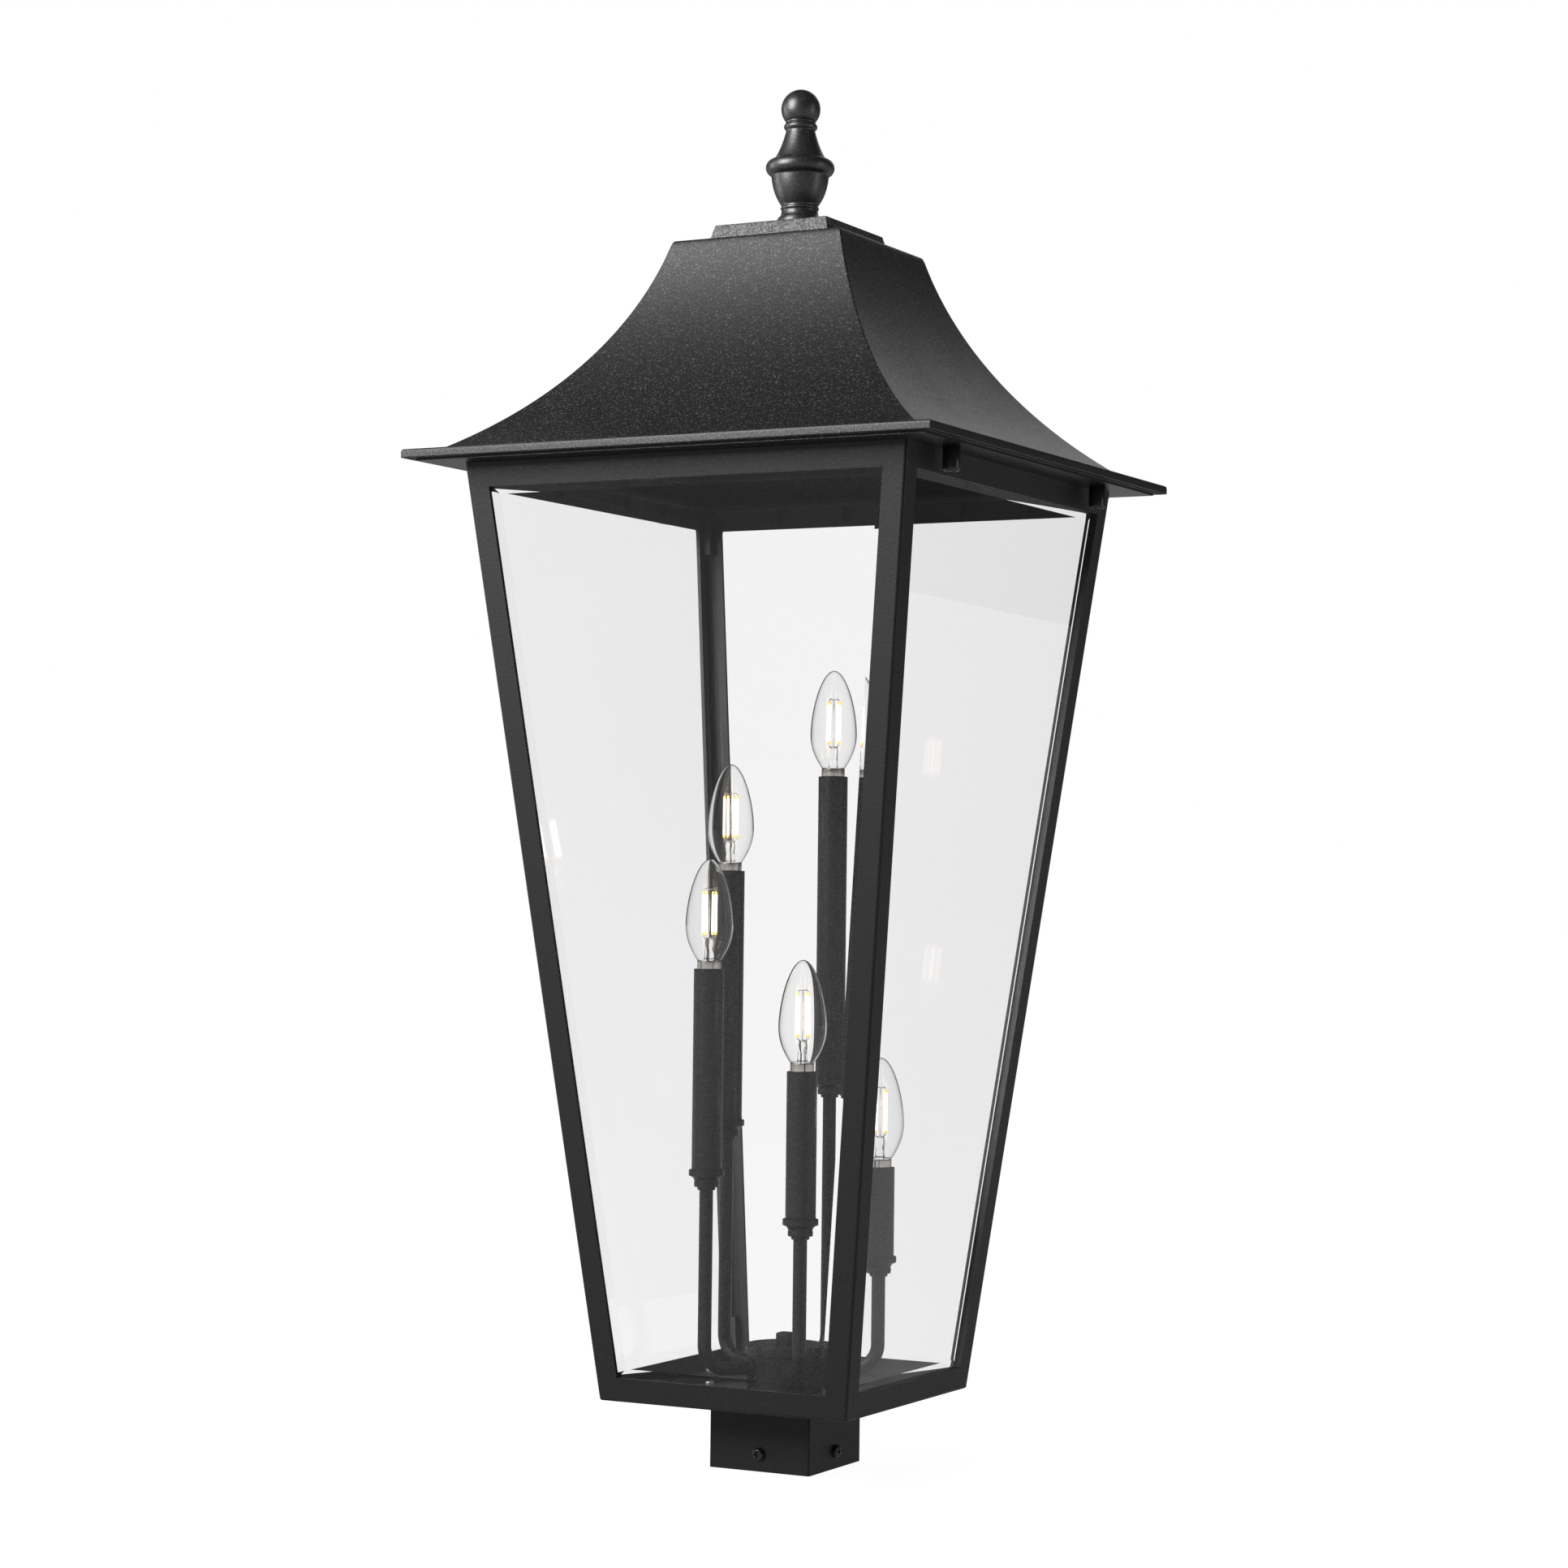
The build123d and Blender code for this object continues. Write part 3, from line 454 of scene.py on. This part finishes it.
for name in ("post_collar", "base_plate", "bottom_rails", "top_rails", "soffit_plate"):
    eased(name, FRAME_EASING)
for side in SIDES:
    eased(f"corner_post_{side}", POST_EASING)
    nodes[f"glass_pane_{side}"].visible_shadow = False

# ------------------------------------------------------------ roof, cap and finial
roof_low, roof_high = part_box("roof_shell")
cap_low, cap_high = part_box("cap_plate")
finial_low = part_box("finial")[0]
EAVE_DEPTH = 6.5 * MM
EAVE_BORDER = 18.2 * MM
ROOF_TOP_HALF = 69.0 * MM
ROOF_SHEET = 2.0 * MM
BELL_RADIUS = 278.0 * MM
RIM_ROUNDING = 2.4 * MM


def bell_outline():
    """The roof's outline from the middle of its top out over the bell to the eave's rim, and back inside."""
    eave, foot_z, top_z = roof_high.x, roof_low.z + EAVE_DEPTH, roof_high.z
    border = eave - EAVE_BORDER
    chord = np.array([ROOF_TOP_HALF - border, top_z - foot_z])
    half_chord = np.linalg.norm(chord) / 2
    reach = (BELL_RADIUS**2 - half_chord**2) ** 0.5 / (2 * half_chord)
    centre = np.array([(border + ROOF_TOP_HALF) / 2 + chord[1] * reach,
                       (foot_z + top_z) / 2 - chord[0] * reach])

    def side(sheet, steps=40):
        """The bell's arc from its top to its foot, moved in by a sheet's thickness."""
        radius = BELL_RADIUS + sheet
        low, high = foot_z - sheet, top_z - sheet
        start, end = (180 + np.degrees(np.arcsin((centre[1] - z) / radius)) for z in (high, low))
        return arc(centre, radius, start, end, steps)

    soft = 0.7 * MM
    outer = side(0.0)
    top = bend((outer[0, 0] - 2 * soft, top_z), (outer[0, 0], top_z), outer[1], 5)
    within = eave - ROOF_SHEET
    rim = softened([outer[-1], (eave, foot_z), (eave, roof_low.z), (within, roof_low.z),
                    (within, foot_z - ROOF_SHEET), side(ROOF_SHEET)[-1]],
                   (RIM_ROUNDING, soft, 0.3 * MM, soft))
    inner = side(ROOF_SHEET)[::-1]
    middle_top, middle_low = (0, top_z), (0, top_z - ROOF_SHEET)
    return np.vstack([[middle_top], top, outer[2:-1], rim, inner[1:], [middle_low]])


def roof_pieces():
    """Bell roof with its folded rim, and the cap plate with a fine shadow line under it."""
    roof = squared("bell_roof", bell_outline(), 0.9 * MM, roof_coat, "roof")
    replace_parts(roof, "roof_shell")
    wide, low, high = cap_high.x, cap_low.z, cap_high.z
    narrow = wide - 3.3 * MM
    line = 0.5 * MM
    outline = softened([(0, low), (wide - line, low), (wide - line, low + line), (wide, low + 2 * line),
                        (narrow, high), (0, high)], (0.1 * MM, 0.2 * MM, 0.3 * MM, 0.9 * MM))
    cap = squared("cap_block", outline, 0.8 * MM, cap_coat, "roof")
    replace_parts(cap, "cap_plate")


def finial_outline():
    """Finial from its foot: flare, band, urn, ring, hollow cone, bead, fillet and ball, in millimetres."""
    ball, bead = (0.0, 91.0), (9.9, 77.6)
    return np.vstack([
        [(0, 0)],
        softened([(15.8, 0), (17.0, 0), (17.0, 7.0), (16.2, 9.0)], (0.7, 1.6)),
        bend((15.9, 9.6), (14.0, 10.6), (13.6, 14.2), 8),
        arc((12.7, 16.6), 1.6, -62, 62, 9),
        bend((14.1, 19.3), (20.3, 27.8), (21.5, 41.2), 20),
        arc((19.3, 47.0), 6.3, -66, 84, 26),
        bend((19.3, 53.4), (13.9, 62.2), (10.9, 74.3), 18),
        arc(bead, 2.6, -70, 66, 14),
        arc((10.2, 81.3), 1.1, -70, 70, 8),
        arc(ball, 14.6, -39, 90, 30),
    ])


def finial_piece():
    """Turned finial; its stud goes down through the cap into the nut."""
    foot = cap_high.z
    stud = 4.0
    depth = (finial_low.z - foot) / MM
    stud_outline = [(0, depth), (stud - 0.6, depth), (stud, depth + 0.6), (stud, 0)]
    outline = np.vstack([stud_outline, finial_outline()[1:]])
    finial = turned("turned_finial", outline, (0, 0, foot), cast_coat, "roof", steps=96)
    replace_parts(finial, "finial")


def roof_nut_piece(number):
    """Roof nut: a round body with a rounded foot, and a dished slot across it with a bar left standing."""
    low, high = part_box(f"roof_nut_{number}")
    centre = ((low.x + high.x) / 2, (low.y + high.y) / 2, low.z)
    radius, height = (high.x - low.x) / 2 / MM, (high.z - low.z) / MM
    bore, bore_depth = 2.7, 13.0
    dish = radius - 2.2
    foot = softened([(0, 1.2), (dish, 1.2), (dish, 0.0), (radius - 1.2, 0.0), (radius, 1.4),
                     (radius, height)], (0.2, 0.3, 0.4, 0.8))
    outline = np.vstack([foot, [(bore, height), (bore, height - bore_depth), (0, height - bore_depth)]])
    body = f"roof_nut_{number}"
    nut = turned(f"turned_roof_nut_{number}", outline, centre, hardware, body, steps=48)
    reach = (radius - 2.0) * MM
    bar = [np.array(centre) + np.array((side * reach, 0, 0.9 * MM)) for side in (-1, 0, 1)]
    tubes(f"roof_nut_bar_{number}", [bar], 0.8 * MM, hardware, body, steps=12)
    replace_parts(nut, body)


roof_pieces()
finial_piece()
for side in SIDES:
    roof_nut_piece(side)

# ------------------------------------------------------------ lamps: arms, cups and candle sleeves
ARM_RADIUS = 5.0 * MM
ARM_BEND = 18.0 * MM
FERRULE_RADIUS = 6.7 * MM
FERRULE_DEPTH = 2.8 * MM
CUP_SEAT = 3.0
hub_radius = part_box("hub_canister")[1].x


def lamp_place(lamp):
    """The middle of the lamp's sleeve and its direction from the hub."""
    low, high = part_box(f"candle_sleeve_{lamp}")
    centre = (low + high) / 2
    return centre, atan2(centre.y, centre.x)


def arm_path(lamp):
    """The arm's line: out of the hub, round a quarter bend and up to the socket."""
    centre, angle = lamp_place(lamp)
    arm_low, arm_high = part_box(f"lamp_arm_{lamp}")
    height = arm_low.z + FERRULE_RADIUS
    reach = np.hypot(centre.x, centre.y)
    out = np.linspace(hub_radius - 4 * MM, reach - ARM_BEND, 6)
    turn = arc((reach - ARM_BEND, height + ARM_BEND), ARM_BEND, -90, 0, 17)
    up = np.linspace(height + ARM_BEND, arm_high.z, 6)
    level = np.stack([out, np.full(6, height)], -1)
    upright = np.stack([np.full(5, reach), up[1:]], -1)
    flat = np.vstack([level, turn[1:], upright])
    return np.stack([flat[:, 0] * cos(angle), flat[:, 0] * sin(angle), flat[:, 1]], -1)


def ferrule_surface(lamp):
    """Ferrule rings about the arm's line, from inside the hub's wall out to a rounded face."""
    angle = lamp_place(lamp)[1]
    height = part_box(f"lamp_arm_{lamp}")[0].z + FERRULE_RADIUS
    outline = softened([(ARM_RADIUS, -1.5 * MM), (FERRULE_RADIUS, -1.5 * MM), (FERRULE_RADIUS, FERRULE_DEPTH),
                        (ARM_RADIUS, FERRULE_DEPTH)], (0.1 * MM, 0.8 * MM))
    ring = round_surface(outline, steps=40)
    along, side, up = (cos(angle), sin(angle), 0), (-sin(angle), cos(angle), 0), (0, 0, 1)
    turn = np.array([side, up, along])
    return ring @ turn + np.array([hub_radius * cos(angle), hub_radius * sin(angle), height])


def lamp_stand(lamp):
    """One lamp's arm, ferrule, cup and candle sleeve."""
    sleeve_low, sleeve_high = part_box(f"candle_sleeve_{lamp}")
    centre = lamp_place(lamp)[0]
    arm = tubes(f"bent_arm_{lamp}", [arm_path(lamp)], ARM_RADIUS, lamp_coat, "lantern", steps=32)
    ringed(f"arm_ferrule_{lamp}", ferrule_surface(lamp), lamp_coat, "lantern")
    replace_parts(arm, f"lamp_arm_{lamp}")
    seat = sleeve_low.z / MM + CUP_SEAT
    place = (centre.x, centre.y, seat * MM)
    cup = turned(f"cup_{lamp}", np.vstack([
        [(5.05, -3), (11.0, -3)],
        softened([(11.0, -2), (11.05, 0), (12.9, 0), (12.9, -4.5), (12.2, -4.5)], (0.1, 0.6, 0.6)),
        bend((12.0, -4.7), (9.3, -5.4), (8.8, -8.4), 10),
        softened([(9.0, -8.8), (9.15, -10.6), (8.9, -12.4), (6.6, -12.4), (6.6, -14.7), (5.05, -14.7)],
                 (1.2, 0.5, 0.3, 0.5)),
    ]), place, lamp_coat, "lantern", closed=True)
    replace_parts(cup, f"candle_cup_{lamp}")
    length = (sleeve_high.z - sleeve_low.z) / MM - CUP_SEAT
    sleeve = turned(f"sleeve_{lamp}", softened(
        [(9.8, 0.5), (9.8, length), (11.0, length), (11.0, 0.5), (9.9, 0.5)], (0.3, 0.45, 0.2)
    ), place, lamp_coat, "lantern", closed=True)
    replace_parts(crisp(sleeve), f"candle_sleeve_{lamp}")


for lamp in BULBS:
    lamp_stand(lamp)

# ------------------------------------------------------------ bulbs
# millimetres above the foot of the bulb's glass, and each lamp's own turn in degrees
BULB_WALL = 0.5
FILAMENT_FOOT = 18.0
FILAMENT_TOP = 51.0
FILAMENT_RING = 5.2
ROD_TURNS = (-9, 10, -17, 24, 8)


def bulb_half():
    """A bulb's glass from neck to tip, in millimetres: it swells to a belly and draws in to a soft point."""
    lower = swing((8.5, 0), (13.0, 6.5), (17.5, 15.0), (17.5, 25.5), 26)
    upper = swing((17.5, 25.5), (17.5, 45.0), (9.5, 74.0), (0.0, 74.0), 44)
    return np.vstack([lower, upper[1:]])


def drawn_in(outline, wall):
    """An outline moved inwards by a wall's thickness, square to its own run."""
    run = np.gradient(outline, axis=0)
    run /= np.linalg.norm(run, axis=1, keepdims=True)
    moved = outline + wall * np.stack([-run[:, 1], run[:, 0]], -1)
    moved[:, 0] = np.maximum(moved[:, 0], 0)
    moved[-1] = (0, outline[-1, 1] - wall)
    return moved


def thread_surface(top, length, radius, depth, pitch, steps=48, rows=90):
    """A rolled thread: the radius rises and falls once a pitch along a helix, and fades out at both ends."""
    rise = np.linspace(0, length, rows)[:, None]
    angles = np.linspace(0, 2 * pi, steps, endpoint=False)[None, :]
    fade = np.clip(np.minimum(rise, length - rise) / pitch, 0, 1)
    wave = 0.5 - 0.5 * np.cos(2 * pi * rise / pitch - angles)
    r = radius - depth * fade * wave
    return np.stack([r * np.cos(angles), r * np.sin(angles), np.broadcast_to(top - rise, r.shape)], -1)


def stem_surface():
    """Glass stem: a flared foot that narrows and is pinched flat across one way towards its top."""
    lower, upper = bend((4.0, 0.3), (3.3, 4.0), (3.1, 9.0), 12), bend((3.1, 9.4), (3.1, 13.5), (2.4, 16.4), 8)
    outline = np.vstack([[(0, 0.3)], lower, upper, [(0, 16.9)]])
    points = round_surface(outline, steps=32)
    upwards = np.clip((points[..., 2] - 6) / 6, 0, 1)
    points[..., 1] *= 1 - 0.55 * upwards
    points[..., 0] *= 1 + 0.35 * upwards
    return points


def bulb_pieces(lamp):
    """One candle bulb: glass, collar, screw shell, contact, stem, spiders and four lit filaments."""
    body = f"bulb_{lamp}"
    low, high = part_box(f"bulb_glass_{lamp}")
    centre = np.array([(low.x + high.x) / 2, (low.y + high.y) / 2, low.z])
    outer = bulb_half()
    shell = np.vstack([outer, drawn_in(outer, BULB_WALL)[::-1]])
    glass = turned(f"bulb_envelope_{lamp}", shell, centre, blown_glass, body,
                   steps=72, closed=True)
    glass.visible_shadow = False
    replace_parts(glass, f"bulb_glass_{lamp}")

    collar = softened([(0, -6), (8.7, -6), (8.7, -0.5), (8.5, 0.0), (0, 0.0)], 0.3, 5)
    ring = turned(f"bulb_collar_{lamp}", collar, centre, nickel, body)
    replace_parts(ring, f"bulb_base_{lamp}")
    thread = thread_surface(-6.0, 16.0, 6.0, 0.55, 2.54)
    ringed(f"bulb_thread_{lamp}", capped(thread) * MM + centre, nickel, body)
    contact = softened([(0, -21.8), (5.2, -21.8), (3.0, -22.6), (2.6, -23.3), (0, -23.5)], 0.3)
    turned(f"bulb_contact_{lamp}", contact, centre, brass, body, steps=32)
    stem = ringed(f"bulb_stem_{lamp}", stem_surface() * MM + centre, blown_glass, body)
    stem.visible_shadow = False

    foot, top = FILAMENT_FOOT, FILAMENT_TOP
    around = [CAMERA_AZIMUTH + radians(a + ROD_TURNS[lamp - 1]) for a in (45, 135, 225, 315)]
    spots = [np.array([FILAMENT_RING * cos(a), FILAMENT_RING * sin(a)]) for a in around]
    rods, ends, wires = [], [], [[(0, 0, 15.5), (0, 0, 30.0), (0, 0, 52.4)]]
    for x, y in spots:
        rods.append([(x, y, foot + 2.8), (x, y, 30.0), (x, y, top - 2.8)])
        ends += [[(x, y, foot + 0.8), (x, y, foot + 2.8)], [(x, y, top - 2.8), (x, y, top - 0.8)]]
        wires += [[(x, y, top - 1.0), (x, y, top + 0.3), (x * 0.75, y * 0.75, top + 1.5),
                   (x * 0.2, y * 0.2, top + 1.1), (0, 0, top + 0.6)],
                  [(x, y, foot + 1.0), (x, y, foot - 0.4), (x * 0.7, y * 0.7, foot - 1.6),
                   (x * 0.25, y * 0.25, foot - 2.6)]]
    for name, paths, radius, finish, slot in (
        (f"filament_rods_{lamp}", rods, 0.9, phosphor, "bulb_metal"),
        (f"filament_ends_{lamp}", ends, 0.92, phosphor_end, "bulb_metal"),
        (f"filament_wires_{lamp}", wires, 0.25, nickel, "bulb_metal"),
    ):
        placed = [np.array(path, float) * MM + centre for path in paths]
        tubes(name, placed, radius * MM, finish, body, steps=10)


for lamp in BULBS:
    bulb_pieces(lamp)


# ------------------------------------------------------------ floor, light and camera
FLOOR_SEEN_IN_REFLECTIONS = 0.32


def studio_floor():
    """A wide pale floor that glows just enough to run into the white behind it."""
    pale = Finish("pale_floor")
    pale.link(pale.mix(pale.noise(2.0), (0.038, 0.038, 0.038), (0.042, 0.042, 0.042)), "Base Color")
    pale.set(Roughness=0.9, Emission_Color=(1, 1, 1, 1))
    away = pale.node("ShaderNodeVectorMath", operation="LENGTH")
    pale.link(pale.place, away.inputs[0])
    grow = pale.node("ShaderNodeMapRange")
    for socket, value in (("From Min", 0.3), ("From Max", 3.0), ("To Min", 0.975), ("To Max", 1.0)):
        grow.inputs[socket].default_value = value
    pale.link(away.outputs["Value"], grow.inputs["Value"])
    rays = pale.node("ShaderNodeLightPath")
    bounced = pale.maths("ADD", rays.outputs["Diffuse Depth"], rays.outputs["Glossy Depth"])
    direct = pale.maths("LESS_THAN", bounced, 0.5)
    share = pale.maths("MAXIMUM", direct, FLOOR_SEEN_IN_REFLECTIONS)
    pale.link(pale.maths("MULTIPLY", grow.outputs["Result"], share), "Emission Strength")
    angles = np.linspace(0, 2 * pi, 96, endpoint=False)
    radii = np.array([0.0, 1.0, 4.0, 40.0])[:, None]
    points = np.stack([radii * np.cos(angles), radii * np.sin(angles), np.full((4, 96), cad_low.z)], -1)
    mesh = bpy.data.meshes.new("studio_floor")
    mesh.from_pydata(points.reshape(-1, 3).tolist(), [], grid_faces(4, 96).tolist())
    mesh.materials.append(pale.material)
    floor = bpy.data.objects.new("studio_floor", mesh)
    bpy.context.scene.collection.objects.link(floor)


def studio_world():
    """White behind the lantern and through its glass; a dim, plain room in its reflections."""
    world = bpy.data.worlds.new("studio")
    bpy.context.scene.world = world
    world.use_nodes = True
    tree = world.node_tree
    tree.nodes.clear()
    new, link = tree.nodes.new, tree.links.new
    rays, room, white = new("ShaderNodeLightPath"), new("ShaderNodeBackground"), new("ShaderNodeBackground")
    bounced, seen = new("ShaderNodeMath"), new("ShaderNodeMath")
    mix, out = new("ShaderNodeMixShader"), new("ShaderNodeOutputWorld")
    seen.operation = "LESS_THAN"
    seen.inputs[1].default_value = 0.5
    room.inputs["Color"].default_value = (1.0, 0.99, 0.98, 1)
    room.inputs["Strength"].default_value = 0.055
    white.inputs["Strength"].default_value = 1.0
    white.inputs["Color"].default_value = (1, 1, 1, 1)
    link(rays.outputs["Diffuse Depth"], bounced.inputs[0])
    link(rays.outputs["Glossy Depth"], bounced.inputs[1])
    link(bounced.outputs[0], seen.inputs[0])
    link(seen.outputs[0], mix.inputs[0])
    link(room.outputs[0], mix.inputs[1])
    link(white.outputs[0], mix.inputs[2])
    link(mix.outputs[0], out.inputs["Surface"])


def soft_light(name, direction, distance, size, power, aim=(0, 0, 0.5)):
    """Rectangular soft box that hangs in a direction from the aim and faces it."""
    light = bpy.data.lights.new(name, "AREA")
    light.shape = "RECTANGLE"
    light.size, light.size_y = size
    light.energy = power
    lamp = bpy.data.objects.new(name, light)
    bpy.context.scene.collection.objects.link(lamp)
    away = Vector(direction).normalized()
    lamp.location = Vector(aim) + away * distance
    lamp.rotation_mode = "QUATERNION"
    lamp.rotation_quaternion = away.to_track_quat("Z", "Y")
    lamp.visible_camera = False
    lamp.visible_transmission = False


def studio_camera():
    """The camera at its measured place, level but for a slight pitch and roll."""
    az, pitch, roll = CAMERA_AZIMUTH, CAMERA_PITCH, CAMERA_ROLL
    right = Vector((cos(az), sin(az), 0))
    ahead = Vector((-sin(az) * cos(pitch), cos(az) * cos(pitch), sin(pitch)))
    up = right.cross(ahead)
    r, u = cos(roll) * right + sin(roll) * up, -sin(roll) * right + cos(roll) * up
    out = Vector((sin(az), -cos(az), 0)) * CAMERA_DISTANCE
    place = out + right * CAMERA_SIDESTEP + Vector((0, 0, CAMERA_HEIGHT))
    camera = bpy.data.objects.new("camera", bpy.data.cameras.new("camera"))
    camera.data.lens = CAMERA_LENS
    camera.data.sensor_width = 36
    camera.data.clip_end = 200
    bpy.context.scene.collection.objects.link(camera)
    camera.matrix_world = Matrix.Translation(place) @ Matrix((r, u, -ahead)).transposed().to_4x4()
    bpy.context.scene.camera = camera


studio_floor()
studio_world()
soft_light("key", (-0.46, -0.80, 0.52), 2.6, (1.3, 1.9), 96)
soft_light("right_strip", (0.95, 0.20, 0.12), 2.4, (0.3, 1.8), 5)
soft_light("back_left", (-0.36, 0.87, 0.58), 2.8, (2.2, 1.3), 10)
soft_light("left_strip", (-0.97, -0.2, 0.15), 2.6, (0.4, 2.0), 15)
studio_camera()
scene = bpy.context.scene
scene.view_settings.view_transform = "Standard"
scene.cycles.max_bounces = 24
scene.cycles.transmission_bounces = 24
